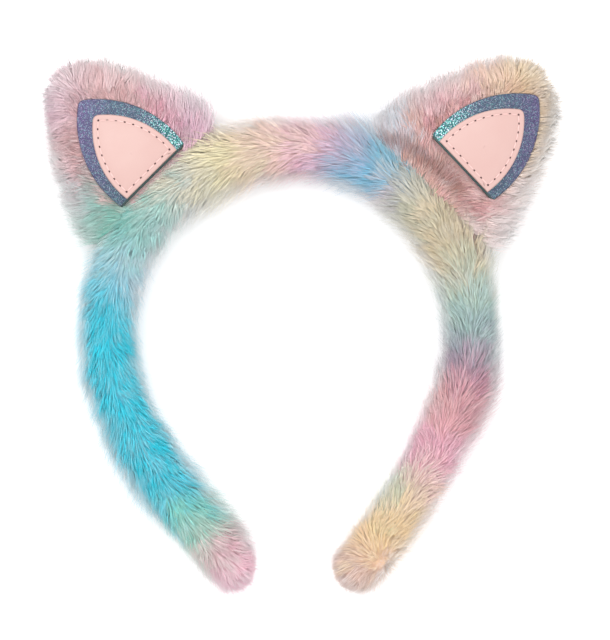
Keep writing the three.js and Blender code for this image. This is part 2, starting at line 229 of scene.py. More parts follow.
def to_linear(rgb):
    """Linear values of a display colour"""
    return tuple(c / 12.92 if c <= 0.04045 else ((c + 0.055) / 1.055) ** 2.4 for c in rgb)


class HeadbandForm(bpy.types.PropertyGroup):
    """Sizes of the backing under the pile, the same as in the part's source"""

    arch_radius: length("Arch radius", "From the arch's centre to the middle line of the band", 0.070)
    arch_spread: angle("Arch spread", "From the crown to where each flatter leg starts", 112)
    right_leg: length("Right leg", "Length of the right leg on the middle line", 0.0772)
    right_bend: angle("Right bend", "How far the right leg turns in on its way to the tip", 18.6)
    left_leg: length("Left leg", "Length of the left leg on the middle line", 0.0791)
    left_bend: angle("Left bend", "How far the left leg turns in on its way to the tip", 24)
    band_width: length("Band width", "Width of the backing seen from the front", 0.017)
    band_depth: length("Band depth", "Depth of the backing from front to back", 0.020)
    band_middle: length("Band height", "Height of the band's middle line over the surface", 0.0118)
    rest_press: length("Pressed pile", "How much of the pile is pressed flat on the surface", 0.0012)
    tip_length: length("Rounded end", "Rounded end past the last full section", 0.006)
    ear_width: length("Ear width", "Width of an ear's backing at its root", 0.066)
    ear_depth: length("Ear depth", "Depth of an ear's backing where it is thickest", 0.018)
    ear_middle: length("Ear height", "Height of the ears' middle over the surface", 0.0128)


class HeadbandPile(bpy.types.PropertyGroup):
    """The deep pile of the band and the ears"""

    band_pile: length("Band pile", "Length of a fibre on the band", 0.0078)
    ear_pile: length("Ear pile", "Length of a fibre on the ears", 0.0076)
    fibre: length("Fibre", "Width of a fibre in its middle", 0.00033)
    tuft: length("Tuft", "Distance from one tuft to the next", 0.0065)
    lock: length("Lock", "Distance from one fine lock to the next", 0.0022)
    gather: share("Gather", "How much the tips of a lock come together", 0.2)
    lift: angle("Lift", "How steeply the pile stands where it leaves the backing", 40)
    lay: angle("Lay", "How flat the pile lies at its tips", 12)
    splay: angle("Splay", "How far the pile parts to both sides of the band", 26)
    frost: share("Frost", "How pale the tips of the fibres are", 0.08)
    rim_frost: share("Rim frost", "How much paler they are on the sides than on the front", 0.85)
    strays: share("Strays", "Share of the fibres that stand out of the coat", 0.10)
    crispness: share("Crispness", "How much each fibre is shaded as a round body of its own", 0.3)


class HeadbandDyes(bpy.types.PropertyGroup):
    """Colours of the dyed pile, and the painted shade for the ears' folds and the fur beside their panels"""

    turquoise: colour("Turquoise", "Left arm", to_linear((0.12, 0.75, 0.86)))
    jade: colour("Jade", "Under the left ear", to_linear((0.28, 0.71, 0.63)))
    mint: colour("Mint", "Above the left tip", to_linear((0.52, 0.81, 0.70)))
    sea: colour("Sea", "Right side of the band", to_linear((0.62, 0.81, 0.77)))
    sky: colour("Sky", "Before the right ear", to_linear((0.12, 0.68, 0.84)))
    mist: colour("Mist", "Between jade and turquoise", to_linear((0.80, 0.85, 0.91)))
    dusk: colour("Dusk", "Right side, over the rose", to_linear((0.51, 0.52, 0.59)))
    mauve: colour("Mauve", "Crown and left ear", to_linear((0.80, 0.67, 0.75)))
    rose: colour("Rose", "Crown and right leg", to_linear((0.94, 0.62, 0.73)))
    berry: colour("Berry", "Right leg, under the dusk", to_linear((0.82, 0.48, 0.57)))
    rosewood: colour("Rosewood", "Ears, off the panels", to_linear((0.84, 0.64, 0.64)))
    blush: colour("Blush", "Right leg and ears", to_linear((0.93, 0.75, 0.75)))
    shell: colour("Shell", "Outer side of the right ear", to_linear((0.99, 0.89, 0.88)))
    peach: colour("Peach", "Crown and ears", to_linear((0.94, 0.80, 0.70)))
    apricot: colour("Apricot", "Right leg and the right ear's tip", to_linear((0.97, 0.80, 0.56)))
    clay: colour("Clay", "Right tip", to_linear((0.84, 0.64, 0.59)))
    # Painted shade, mixed into the ears' fur along the fold before the band and beside the panels
    painted_shade: colour("Painted shade", "Crease of the right ear", to_linear((0.48, 0.29, 0.26)))
    lemon: colour("Lemon", "Left of the crown", to_linear((0.93, 0.89, 0.66)))
    ivory: colour("Ivory", "Beside the ears", to_linear((0.88, 0.81, 0.71)))
    sand: colour("Sand", "Under the right ear", to_linear((0.83, 0.73, 0.58)))
    sage: colour("Sage", "Right side of the band", to_linear((0.72, 0.74, 0.64)))


class HeadbandPanels(bpy.types.PropertyGroup):
    """The glitter panels and the pink panels, the same sizes as in the part's source"""

    width: length("Width", "Straight edge of the glitter panel", 0.034)
    height: length("Height", "From the straight edge to where the curved sides would meet", 0.0408)
    side_border: length("Side border", "Glitter showing beside the pink panel", 0.0036)
    base_border: length("Base border", "Glitter showing under the pink panel", 0.0009)
    tip_border: length("Tip border", "Glitter showing past the pink panel's tip", 0.008)
    tip_radius: length("Tip radius", "Rounding of the tips", 0.0024)
    glitter_thickness: length("Glitter thickness", "Thickness of the glitter vinyl", 0.001)
    pink_thickness: length("Pink thickness", "Thickness of the pink leather", 0.0012)
    seat_gap: length("Seat gap", "Gap between a panel and what carries it", 0.0003)
    stitch_inset: length("Stitch inset", "From the pink panel's edge to its stitches", 0.0021)
    base_pitch: length("Base pitch", "From one needle hole to the next on the straight edge", 0.0036)
    side_pitch: length("Side pitch", "From one needle hole to the next on the curved edges", 0.0036)
    # Violet, slate and teal: the shift from one to the next along the ear is painted iridescent reflection
    violet: colour("Violet", "Glitter at the tip", to_linear((0.28, 0.245, 0.39)))
    slate: colour("Slate", "Glitter on the sides", to_linear((0.21, 0.265, 0.345)))
    teal: colour("Teal", "Glitter by the band", to_linear((0.13, 0.36, 0.37)))
    pink: colour("Pink", "Leather", to_linear((0.735, 0.615, 0.59)))
    thread: colour("Thread", "Stitching thread", to_linear((0.86, 0.71, 0.69)))
    # The needle hole colour is painted shade, on flat beads where the holes are
    hole: colour("Needle hole", "Inside of a needle hole", to_linear((0.30, 0.20, 0.20)))


class HeadbandStage(bpy.types.PropertyGroup):
    """Floor, light and camera"""

    floor: colour("Floor", "Plain pale floor", (0.93, 0.93, 0.935))
    key_power: FloatProperty(name="Key light", description="Soft light from the upper left", default=5.0, min=0.0, unit="POWER")
    sky_strength: FloatProperty(name="Room light", description="Even light of the pale room", default=1.4, min=0.0)
    pixel: length("Pixel", "Width of a pixel of the view on the object", 0.000385)
    distance: length("Camera distance", "Height of the camera over the surface", 3.0)


def mm(value):
    """A length property in millimetres"""
    return value / MM


def form():
    return bpy.context.scene.headband_form


def pile():
    return bpy.context.scene.headband_pile


def panels():
    return bpy.context.scene.headband_panels


def arch_centre():
    """Centre of the band's arch in the row frame, in mm. The mount on the back lies on the crown's middle line"""
    mount = frame["record"]["mounts"][0]["pos_m"]
    return np.array([mm(mount[0]), mm(mount[1] - form().arch_radius), 0.0])


# Forms of the backing, in mm from the arch's centre. Every function takes arrays


def band_length():
    f = form()
    return mm(f.right_leg + f.left_leg + 2 * f.arch_spread * f.arch_radius)


def band_frames(along):
    """Middle, direction and outward side of the band at distances along it from the right tip, straight past its ends"""
    f = form()
    radius, right_leg, left_leg = mm(f.arch_radius), mm(f.right_leg), mm(f.left_leg)
    right_end, left_end = math.pi / 2 - f.arch_spread, math.pi / 2 + f.arch_spread
    right_radius, left_radius = right_leg / f.right_bend, left_leg / f.left_bend
    inside = np.clip(along, 0, band_length())
    arch = 2 * f.arch_spread * radius
    on_right, on_left = inside < right_leg, inside > right_leg + arch
    heading = np.where(
        on_right,
        right_end + (inside - right_leg) / right_radius,
        np.where(on_left, left_end + (inside - right_leg - arch) / left_radius, right_end + (inside - right_leg) / radius),
    )
    wide = np.where(on_right, right_radius, np.where(on_left, left_radius, radius))
    touch = np.where(on_right, right_end, np.where(on_left, left_end, 0))
    outward = np.stack([np.cos(heading), np.sin(heading), np.zeros_like(heading)], -1)
    ahead = np.stack([-np.sin(heading), np.cos(heading), np.zeros_like(heading)], -1)
    centre = (radius - wide)[..., None] * np.stack([np.cos(touch), np.sin(touch), np.zeros_like(touch)], -1)
    middle = centre + wide[..., None] * outward + (along - inside)[..., None] * ahead
    middle[..., 2] = mm(f.band_middle)
    return middle, ahead, outward


def band_skin(along, turn, inset=0.0):
    """Skin of the band's backing. Turn is 0 on the outer side and a quarter turn on the front; the back is squarer"""
    f = form()
    middle, _, outward = band_frames(along)
    past = np.maximum(0, np.maximum(-along, along - band_length())) / mm(f.tip_length)
    fullness = np.sqrt(np.maximum(0, 1 - past * past))
    front = np.sin(turn) > 0
    across = np.sign(np.cos(turn)) * np.abs(np.cos(turn)) ** np.where(front, 1.0, 0.75)
    depth = np.where(front, mm(f.band_depth) / 2, mm(f.band_middle + f.rest_press))
    corner = middle + (across * (mm(f.band_width) / 2 - inset) * fullness)[..., None] * outward
    corner[..., 2] = np.maximum(inset, corner[..., 2] + np.sin(turn) * (depth - inset) * fullness)
    return corner


def ear_axes(ear):
    turned = math.radians(ear["angle"])
    ahead = np.array([math.cos(turned), math.sin(turned), 0.0])
    return ahead, np.array([ahead[1], -ahead[0], 0.0])


def ear_ends(ear):
    """Distances from the arch's centre to an ear's root and tip"""
    f = form()
    return mm(f.arch_radius - f.band_width / 4), mm(f.arch_radius) + ear["reach"]


def ear_section(ear, away):
    """Half width, half depth and lateral middle of an ear at distances from the arch's centre"""
    f = form()
    root, tip = ear_ends(ear)
    rise = np.clip((away - root) / (tip - root), 0, 1)
    wide = np.interp(rise, EAR_SECTIONS[:, 0], EAR_SECTIONS[:, 1]) * mm(f.ear_width) / 2
    deep = np.interp(rise, EAR_SECTIONS[:, 0], EAR_SECTIONS[:, 2]) * mm(f.ear_depth) / 2
    middle = (ear["root"] + (ear["tip"] - ear["root"]) * rise) * mm(f.ear_width)
    return wide, deep, middle


def ear_place(ear, away, lateral, height):
    ahead, side = ear_axes(ear)
    place = away[..., None] * ahead + lateral[..., None] * side
    place[..., 2] = height
    return place


def ear_skin(ear, away, turn, inset=0.0):
    """Skin of an ear's backing. Turn is 0 on the clockwise side and a quarter turn on the front"""
    wide, deep, middle = ear_section(ear, away)
    wide, deep = np.maximum(wide - inset, 0), np.maximum(deep - inset, 0)
    return ear_place(ear, away, middle + wide * np.cos(turn), mm(form().ear_middle) + deep * np.sin(turn))


def ear_front(ear, away, lateral):
    """Height of an ear's front over a place"""
    wide, deep, middle = ear_section(ear, away)
    across = (lateral - middle) / np.maximum(wide, 1e-6)
    return mm(form().ear_middle) + deep * np.sqrt(np.maximum(0, 1 - across * across))


# Panels, in their own plane: 0, 0 is the middle of the straight edge, and the tip points along +Y


def glitter_size():
    p = panels()
    return dict(width=mm(p.width), height=mm(p.height), roundness=0.92, base=0.0)


def pink_size():
    p = panels()
    return dict(
        width=mm(p.width - 2 * p.side_border),
        height=mm(p.height - p.base_border - p.tip_border),
        roundness=0.98,
        base=mm(p.base_border),
    )


def panel_circle(size):
    """Radius and centre of the circle that a panel's right side follows"""
    half = size["width"] / 2
    chord = math.hypot(half, size["height"])
    radius = chord * size["roundness"]
    reach = math.sqrt(radius**2 - chord**2 / 4)
    return radius, half / 2 - size["height"] / chord * reach, size["height"] / 2 - half / chord * reach


def panel_outline(size, inset=0.0, base_count=36, side_count=44, tip_count=8):
    """Points round a panel from the left end of its straight edge, counterclockwise, moved in by an inset"""
    radius, x, y = panel_circle(size)
    radius, tip_radius = radius - inset, mm(panels().tip_radius) - inset
    tip_y = y + math.sqrt((radius - tip_radius) ** 2 - x**2)
    start, end = math.asin((inset - y) / radius), math.atan2(tip_y - y, -x)
    half = x + radius * math.cos(start)
    turns = np.linspace(start, end, side_count, endpoint=False)
    side = np.stack([x + radius * np.cos(turns), y + radius * np.sin(turns)], -1)
    turns = np.linspace(end, math.pi / 2, tip_count)
    cap = np.stack([tip_radius * np.cos(turns), tip_y + tip_radius * np.sin(turns)], -1)
    rise = np.concatenate([side, cap])
    base = np.stack([np.linspace(-half, half, base_count, endpoint=False), np.full(base_count, inset)], -1)
    return np.concatenate([base, rise, (rise[::-1] * [-1, 1])[1:-1]])


def panel_to_ear(ear, spots):
    """Distances from the arch's centre and laterals of places in a panel's plane"""
    turned = math.radians(ear["turn"])
    x = spots[..., 0] * math.cos(turned) - spots[..., 1] * math.sin(turned)
    y = spots[..., 0] * math.sin(turned) + spots[..., 1] * math.cos(turned)
    return y + mm(form().arch_radius) + ear["seat"], x + ear["shift"] * mm(form().ear_width)


def ear_to_panel(ear, points):
    """Places in a panel's plane of points from the arch's centre"""
    ahead, side = ear_axes(ear)
    x = points @ side - ear["shift"] * mm(form().ear_width)
    y = points @ ahead - mm(form().arch_radius) - ear["seat"]
    turned = -math.radians(ear["turn"])
    return np.stack([x * math.cos(turned) - y * math.sin(turned), x * math.sin(turned) + y * math.cos(turned)], -1)


def outside_panel(ear, points):
    """How far points are outside the glitter panel's outline, below 0 inside it"""
    spot = ear_to_panel(ear, points)
    radius, x, y = panel_circle(glitter_size())
    right = np.hypot(spot[..., 0] - x, spot[..., 1] - y) - radius
    left = np.hypot(spot[..., 0] + x, spot[..., 1] - y) - radius
    return np.maximum(np.maximum(right, left), -spot[..., 1])


def over_panel(ear, points, margin):
    """Whether points would stand in the room of an ear's panels"""
    ahead, side = ear_axes(ear)
    front = ear_front(ear, points @ ahead, points @ side)
    return (outside_panel(ear, points) < margin) & (points[..., 2] > front - 0.2)


# Mesh making


def new_piece(name, mesh, material, slot, *nodes):
    """An object of the headband in the row frame, which rides on the one body"""
    piece = bpy.data.objects.new(name, mesh)
    bpy.context.scene.collection.objects.link(piece)
    if material is not None:
        mesh.materials.append(material)
    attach(piece, "root")
    if nodes:
        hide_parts(*nodes)
    return piece


def to_row(points):
    """Points from the arch's centre in mm, in the row frame in metres"""
    return (points + arch_centre()) * MM


def ring_mesh(name, sides, rows, place):
    """A closed mesh with a pole at each end. Place gives the points of a row, in mm from the arch's centre"""
    bm = bmesh.new()
    bmesh.ops.create_uvsphere(bm, u_segments=sides, v_segments=rows - 1, radius=1)
    rings = {}
    for vert in bm.verts:
        row = round(math.acos(max(-1, min(1, vert.co.z))) / math.pi * (rows - 1))
        rings.setdefault(row, []).append(vert)
    for row, ring in rings.items():
        points = to_row(place(row))
        for vert in ring:
            corner = round(math.atan2(vert.co.y, vert.co.x) / TURN * sides) % sides
            vert.co = Vector(points[corner] if len(ring) > 1 else points.mean(0))
    bmesh.ops.recalc_face_normals(bm, faces=bm.faces)
    mesh = bpy.data.meshes.new(name)
    bm.to_mesh(mesh)
    bm.free()
    mesh.shade_smooth()
    return mesh


def unit(vectors):
    return vectors / np.maximum(np.linalg.norm(vectors, axis=-1), 1e-9)[..., None]


class Skin:
    """A skin that pile grows on: places on it, their outward side and the two directions in it"""

    def __init__(self, skin, low, high):
        self.skin, self.low, self.high = skin, low, high

    def frames(self, along, turn):
        step = 0.01
        ahead = (self.skin(along + step, turn) - self.skin(along - step, turn)) / (2 * step)
        around = (self.skin(along, turn + step) - self.skin(along, turn - step)) / (2 * step)
        cross = np.cross(ahead, around)
        return self.skin(along, turn), unit(ahead), unit(around), unit(cross), np.linalg.norm(cross, axis=-1)

    def spread(self, density, rng):
        """Random places, the same number on every square millimetre"""
        along, turn = rng.uniform(self.low, self.high, 4000), rng.uniform(0, TURN, 4000)
        area = self.frames(along, turn)[4]
        tries = int(density * area.max() * (self.high - self.low) * TURN)
        along, turn = rng.uniform(self.low, self.high, tries), rng.uniform(0, TURN, tries)
        kept = rng.uniform(0, area.max(), tries) < self.frames(along, turn)[4]
        return along[kept], turn[kept]


def nearest(points, spacing, rng):
    """Group of each point, round centres picked from the points about one spacing apart"""
    cell = np.floor(points / spacing + rng.uniform(0, 1, 3)).astype(int)
    _, first = np.unique(cell, axis=0, return_index=True)
    tree = KDTree(len(first))
    for i, centre in enumerate(points[first]):
        tree.insert(centre, i)
    tree.balance()
    return np.array([tree.find(p)[1] for p in points]), first


def grow(skin, places, comb, dye, size, rng):
    """Root, middle and tip of each fibre, and its looks: dye, shade, paleness and slimness. Comb gives a direction over
    the skin in angle from straight ahead, the share of the pile's length, degrees steeper, and how near the rim it is"""
    s = pile()
    along, turn = places
    root, ahead, around, out, _ = skin.frames(along, turn)
    tuft, _ = nearest(root, mm(s.tuft), rng)
    lock, firsts = nearest(root, mm(s.lock), rng)
    tufts, locks, count = tuft.max() + 1, lock.max() + 1, len(root)

    def vary(by_tuft, by_lock, by_fibre):
        """The same chance for a tuft, for a lock and for a fibre"""
        return (
            rng.normal(0, 1, tufts)[tuft] * by_tuft
            + rng.normal(0, 1, locks)[lock] * by_lock
            + rng.normal(0, 1, count) * by_fibre
        )

    heading, long, steep, rim = comb(along, turn)
    heading = heading + np.radians(vary(12, 4, 8))
    way = unit(ahead * np.cos(heading)[:, None] + around * np.sin(heading)[:, None])
    stray = rng.uniform(0, 1, count) < s.strays * (1 + 3.5 * rim)
    longer = stray * (0.35 + 0.4 * rim) * rng.uniform(0, 1, count)
    reach = size * long * (1 - 0.12 * rim) * np.clip(1 + vary(0.07, 0.04, 0.12) + longer, 0.45, 1.7)
    lift = s.lift + np.radians(vary(4, 3, 6) + steep + 6 * stray)
    lay = s.lay + np.radians(vary(5, 3, 7) + 0.6 * steep + 14 * stray)
    start = root - 0.35 * out
    first = way * np.cos(lift)[:, None] + out * np.sin(lift)[:, None]
    second = way * np.cos(lay)[:, None] + out * np.sin(lay)[:, None]
    middle = start + first * (0.42 * reach)[:, None]
    tip = middle + second * (0.58 * reach)[:, None]
    leader = np.array(firsts)[lock]
    draw = s.gather * (np.clip(rng.normal(1, 0.25, count), 0.2, 1.5) * ~stray)[:, None]
    tip += (tip[leader] - tip) * draw
    middle += (middle[leader] - middle) * draw * 0.35
    colours = dye(along, turn, vary(3.0, 1.2, 1.3), vary(0.22, 0.08, 0.08))
    shade = np.clip(0.5 + vary(0.14, 0.07, 0.07), 0, 1)
    pale = np.clip(s.frost + s.rim_frost * rim + vary(0.05, 0.04, 0.06), 0, 1)
    return start, middle, tip, out, colours, shade, pale, np.where(stray, 0.55, 1.0) * (1 - 0.2 * rim)


def clear_fibres(start, middle, tip, rng):
    """Keeps the fibres over the surface and out of the panels. Returns the middles, the tips and which fibres stay"""
    floor = 0.25 + 0.5 * rng.uniform(0, 1, len(tip))
    stays = np.ones(len(tip), bool)
    for ear in EARS.values():
        stays &= ~over_panel(ear, start, 0.1)
        for _ in range(6):
            hit = over_panel(ear, tip, 0.35) | over_panel(ear, middle, 0.35)
            middle[hit] = start[hit] + 0.75 * (middle[hit] - start[hit])
            tip[hit] = start[hit] + 0.75 * (tip[hit] - start[hit])
        stays &= ~(over_panel(ear, tip, 0.35) | over_panel(ear, middle, 0.35))
    middle[:, 2] = np.maximum(middle[:, 2], floor)
    tip[:, 2] = np.maximum(tip[:, 2], floor)
    return middle, tip, stays


def fibre_mesh(name, start, middle, tip, out, colours, shade, pale, slim, thickness, rng):
    """One mesh of closed fibres, each with a root, a ring of three round its middle and a tip, on a map of its own"""
    count = len(start)
    axis = unit(tip - start)
    side = unit(np.cross(axis, out) + 1e-6)
    up = np.cross(side, axis)
    wide = thickness / 2 * slim * np.clip(rng.normal(1, 0.18, count), 0.5, 1.6)
    spin = rng.normal(0, 0.35, count)
    corners, normals = np.empty((count, 5, 3)), np.empty((count, 5, 3))
    corners[:, 0], corners[:, 4] = start, tip
    lifted = np.interp(out[:, 2], [-0.9, -0.4, 0.2, 0.7], [0, 1.5, 1.3, 0.1])[:, None]
    soft = unit(out + [0, 0, 1] * lifted)
    normals[:, 0], normals[:, 4] = soft, unit(soft + 0.4 * up)
    crisp = pile().crispness * np.interp(out[:, 2], [-0.2, 0.4], [2.0, 1.0])[:, None]
    for i in range(3):
        turn = spin + i * TURN / 3
        round_way = up * np.cos(turn)[:, None] + side * np.sin(turn)[:, None]
        flat_way = round_way - 0.4 * up * np.cos(turn)[:, None]
        corners[:, i + 1] = middle + wide[:, None] * flat_way
        normals[:, i + 1] = unit(soft + crisp * round_way)
    faces = np.array([(2, 1, 0), (3, 2, 0), (1, 3, 0), (1, 2, 4), (2, 3, 4), (3, 1, 4)])
    loops = (faces[None] + 5 * np.arange(count)[:, None, None]).reshape(-1)
    mesh = bpy.data.meshes.new(name)
    mesh.vertices.add(5 * count)
    mesh.vertices.foreach_set("co", to_row(corners.reshape(-1, 3)).astype(np.float32).reshape(-1))
    mesh.loops.add(len(loops))
    mesh.loops.foreach_set("vertex_index", loops.astype(np.int32))
    mesh.polygons.add(len(loops) // 3)
    mesh.polygons.foreach_set("loop_start", np.arange(0, len(loops), 3, dtype=np.int32))
    grid = math.ceil(math.sqrt(count))
    cell = np.stack([np.arange(count) % grid, np.arange(count) // grid], -1)
    spots = np.array([(0.05, 0.5), (0.5, 0.92), (0.45, 0.45), (0.55, 0.08), (0.95, 0.5)])
    uv = ((cell[:, None] + spots[None]) / grid).reshape(-1, 2)[loops]
    mesh.uv_layers.new(name="OFBake").uv.foreach_set("vector", uv.astype(np.float32).reshape(-1))
    tint = np.concatenate([colours, np.ones((count, 1))], 1)
    mesh.attributes.new("dye", "FLOAT_COLOR", "POINT").data.foreach_set(
        "color", np.repeat(tint, 5, 0).astype(np.float32).reshape(-1)
    )
    up_fibre = np.tile([0.0, 0.42, 0.42, 0.42, 1.0], count)
    mesh.attributes.new("tip", "FLOAT", "POINT").data.foreach_set("value", up_fibre.astype(np.float32))
    for label, values in (("shade", shade), ("pale", pale)):
        mesh.attributes.new(label, "FLOAT", "POINT").data.foreach_set("value", np.repeat(values, 5).astype(np.float32))
    mesh.update(calc_edges=True)
    mesh.shade_smooth()
    mesh.normals_split_custom_set_from_vertices(normals.reshape(-1, 3))
    return mesh


# Dyes


def dyed(patches, first, second):
    """Linear colours at places, blended from the patches round them"""
    dyes = bpy.context.scene.headband_dyes
    weights, total = np.zeros((len(first), 3)), np.zeros(len(first))
    for at, across, reach, name in patches:
        near = ((first - at) ** 2 + (second - across) ** 2) / (2 * (1.15 * reach) ** 2)
        weight = np.exp(-near) + 1e-9
        weights += weight[:, None] * np.array(getattr(dyes, name))
        total += weight
    return weights / total[:, None]


def band_dye(along, turn, drift=0.0, swing=0.0):
    """The band's dye. Drift and swing move each tuft off the place it takes its dye from"""
    across = 10.0
    patches = [(at, side * across, reach, name) for at, side, reach, name in BAND_PATCHES]
    return dyed(patches, along + drift, np.cos(turn + swing) * across)


def ear_painted_shade(name, away, lateral):
    """How much painted shade darkens the ear: along the fold where the band lies before it, and beside its panel"""
    ear = EARS[name]
    fold = mm(form().arch_radius) + 12 - 0.006 * lateral**2
    deep = ear["crease"] * np.clip((24 - lateral) / 20, 0, 1)
    crease = deep * np.exp(-(((np.hypot(away, lateral) - fold) / 3.6) ** 2))
    beside = outside_panel(ear, ear_place(ear, away, lateral, 0.0))
    return np.maximum(crease, 0.4 * np.exp(-((beside / 2.2) ** 2)))[:, None]


def ear_colours(name, away, lateral, drift=0.0, slide=0.0):
    """The ear's dye, with painted shade mixed in along its fold and beside its panel. Drift and slide move each tuft
    off the place it takes its dye from
    """
    crease = ear_painted_shade(name, away, lateral)
    # Mixes the painted shade into the dye
    painted_shade = np.array(bpy.context.scene.headband_dyes.painted_shade)
    return dyed(EAR_PATCHES[name], away + drift, lateral + slide) * (1 - crease) + painted_shade * crease


def ear_dye(name):
    def at(away, turn, drift, swing):
        wide, _, middle = ear_section(EARS[name], away)
        slide = wide * (np.cos(turn + swing) - np.cos(turn))
        return ear_colours(name, away, middle + wide * np.cos(turn), drift, slide)

    return at


# Combs: angle from straight ahead towards growing turn, length and degrees steeper


def facing_front(turn):
    """1 on the front half of a skin, falling to 0 on its back"""
    return np.clip(1 + 1.6 * (np.sin(turn) + 0.15), 0, 1)


def band_comb(along, turn):
    """Laid from the right tip to the left tip, parted along the front, and turned back over the right tip"""
    heading = -pile().splay * np.sin(2 * turn)
    back = np.clip((16 - along) / 14, 0, 1)
    heading = heading + back * (math.pi - 2 * heading)
    end = band_length()
    tips = np.maximum(np.clip((12 - along) / 14, 0, 1), np.clip((along - end + 12) / 14, 0, 1))
    under = np.clip(-np.sin(turn) - 0.55, 0, 1)
    inner = np.clip(-np.cos(turn) - 0.3, 0, 0.7) / 0.7
    outer = np.clip(np.cos(turn) - 0.3, 0, 0.7) / 0.7
    long = 1 - 0.2 * under - 0.3 * tips
    for side, at, reach, more in BAND_LENGTHS:
        long += more * np.exp(-(((along - at) / reach) ** 2)) * (outer if side > 0 else inner)
    rim = np.maximum(np.clip((np.abs(np.cos(turn)) - 0.6) / 0.38, 0, 1), 0.4 * tips)
    return heading, long, -20 * under + 4 * tips, rim * facing_front(turn)


def ear_comb(ear):
    """Laid off the panel to the sides and towards the tip"""

    def at(away, turn):
        root, tip = ear_ends(ear)
        heading = -math.radians(58) * np.sin(2 * turn)
        points = ear_skin(ear, away, turn)
        edge = np.clip(1 - outside_panel(ear, points) / 5, 0, 1) * (np.sin(turn) > 0)
        peak = np.clip((away - tip + 22) / 22, 0, 1)
        rim = np.maximum(np.clip((np.abs(np.cos(turn)) - 0.7) / 0.28, 0, 1), np.clip((away - tip + 10) / 20, 0, 1))
        seat = np.exp(-(((away - root - 14) / 5) ** 2))
        long = 1 - 0.3 * edge - 0.08 * peak - 0.3 * seat
        for side, at, more in ear["lengths"]:
            long += more * np.exp(-(((away - at) / 12) ** 2)) * np.clip(side * np.cos(turn) - 0.3, 0, 0.7) / 0.7
        return heading, long, -8 * edge - 10 * seat, rim * facing_front(turn)

    return at


# Materials


def shader_nodes(material):
    material.use_nodes = True
    nodes = material.node_tree.nodes
    return nodes, material.node_tree.links, nodes["Principled BSDF"]


def add_node(nodes, kind, **settings):
    node = nodes.new(kind)
    for name, value in settings.items():
        setattr(node, name, value)
    return node


def group_shell(name, inputs, outputs):
    """A shader node group with named inputs and outputs, and its two end nodes"""
    group = bpy.data.node_groups.new(name, "ShaderNodeTree")
    for label, kind, default in inputs:
        socket = group.interface.new_socket(name=label, in_out="INPUT", socket_type=kind)
        if default is not None:
            socket.default_value = default
    for label, kind in outputs:
        group.interface.new_socket(name=label, in_out="OUTPUT", socket_type=kind)
    return group, group.nodes.new("NodeGroupInput"), group.nodes.new("NodeGroupOutput")


def mix_colour(nodes, links, blend, factor, first, second):
    """The colour socket of a mix node. Each input is a socket or a value"""
    node = add_node(nodes, "ShaderNodeMix", data_type="RGBA", blend_type=blend)
    for socket, value in ((node.inputs[0], factor), (node.inputs[6], first), (node.inputs[7], second)):
        if isinstance(value, bpy.types.NodeSocket):
            links.new(value, socket)
        else:
            socket.default_value = value
    return node.outputs[2]


def maths(nodes, links, operation, *values):
    node = add_node(nodes, "ShaderNodeMath", operation=operation)
    for socket, value in zip(node.inputs, values):
        if isinstance(value, bpy.types.NodeSocket):
            links.new(value, socket)
        else:
            socket.default_value = value
    return node.outputs[0]


def pile_group():
    """Colour of dyed pile: darker near the root as painted shade deep in the coat, paler at the tip, and lighter or
    darker from lock to lock
    """
    if "Dyed pile" in bpy.data.node_groups:
        return bpy.data.node_groups["Dyed pile"]
    group, given, result = group_shell(
        "Dyed pile",
        [
            ("Dye", "NodeSocketColor", (0.8, 0.7, 0.7, 1)),
            ("Tip", "NodeSocketFloat", 0.5),
            ("Shade", "NodeSocketFloat", 0.5),
            ("Frost", "NodeSocketFloat", 0.3),
        ],
        [("Colour", "NodeSocketColor")],
    )
    nodes, links = group.nodes, group.links
    noise = add_node(nodes, "ShaderNodeTexNoise")
    noise.inputs["Scale"].default_value = 160
    noise.inputs["Detail"].default_value = 2
    links.new(nodes.new("ShaderNodeTexCoord").outputs["Object"], noise.inputs["Vector"])
    uneven = maths(nodes, links, "MULTIPLY_ADD", noise.outputs["Fac"], 0.22, 0.92)
    lit = maths(nodes, links, "MULTIPLY_ADD", given.outputs["Shade"], 0.24, 0.92)
    # Painted shade deep in the coat: the colour is a little darker towards the root
    ramp = add_node(nodes, "ShaderNodeValToRGB")
    ramp.color_ramp.elements[0].color = (0.94, 0.93, 0.93, 1)
    ramp.color_ramp.elements[1].color = (1, 1, 1, 1)
    ramp.color_ramp.elements[1].position = 0.6
    links.new(given.outputs["Tip"], ramp.inputs["Fac"])
    root_shaded = mix_colour(nodes, links, "MULTIPLY", 1.0, given.outputs["Dye"], ramp.outputs["Color"])
    level = maths(nodes, links, "MULTIPLY", uneven, lit)
    combined = nodes.new("ShaderNodeCombineColor")
    for socket in combined.inputs:
        links.new(level, socket)
    shaded = mix_colour(nodes, links, "MULTIPLY", 1.0, root_shaded, combined.outputs["Color"])
    late = maths(nodes, links, "MULTIPLY_ADD", given.outputs["Tip"], 0.85, 0.15)
    pale = maths(nodes, links, "MULTIPLY", late, given.outputs["Frost"])
    frosted = mix_colour(nodes, links, "MIX", pale, shaded, (0.97, 0.96, 0.96, 1))
    links.new(frosted, result.inputs["Colour"])
    return group


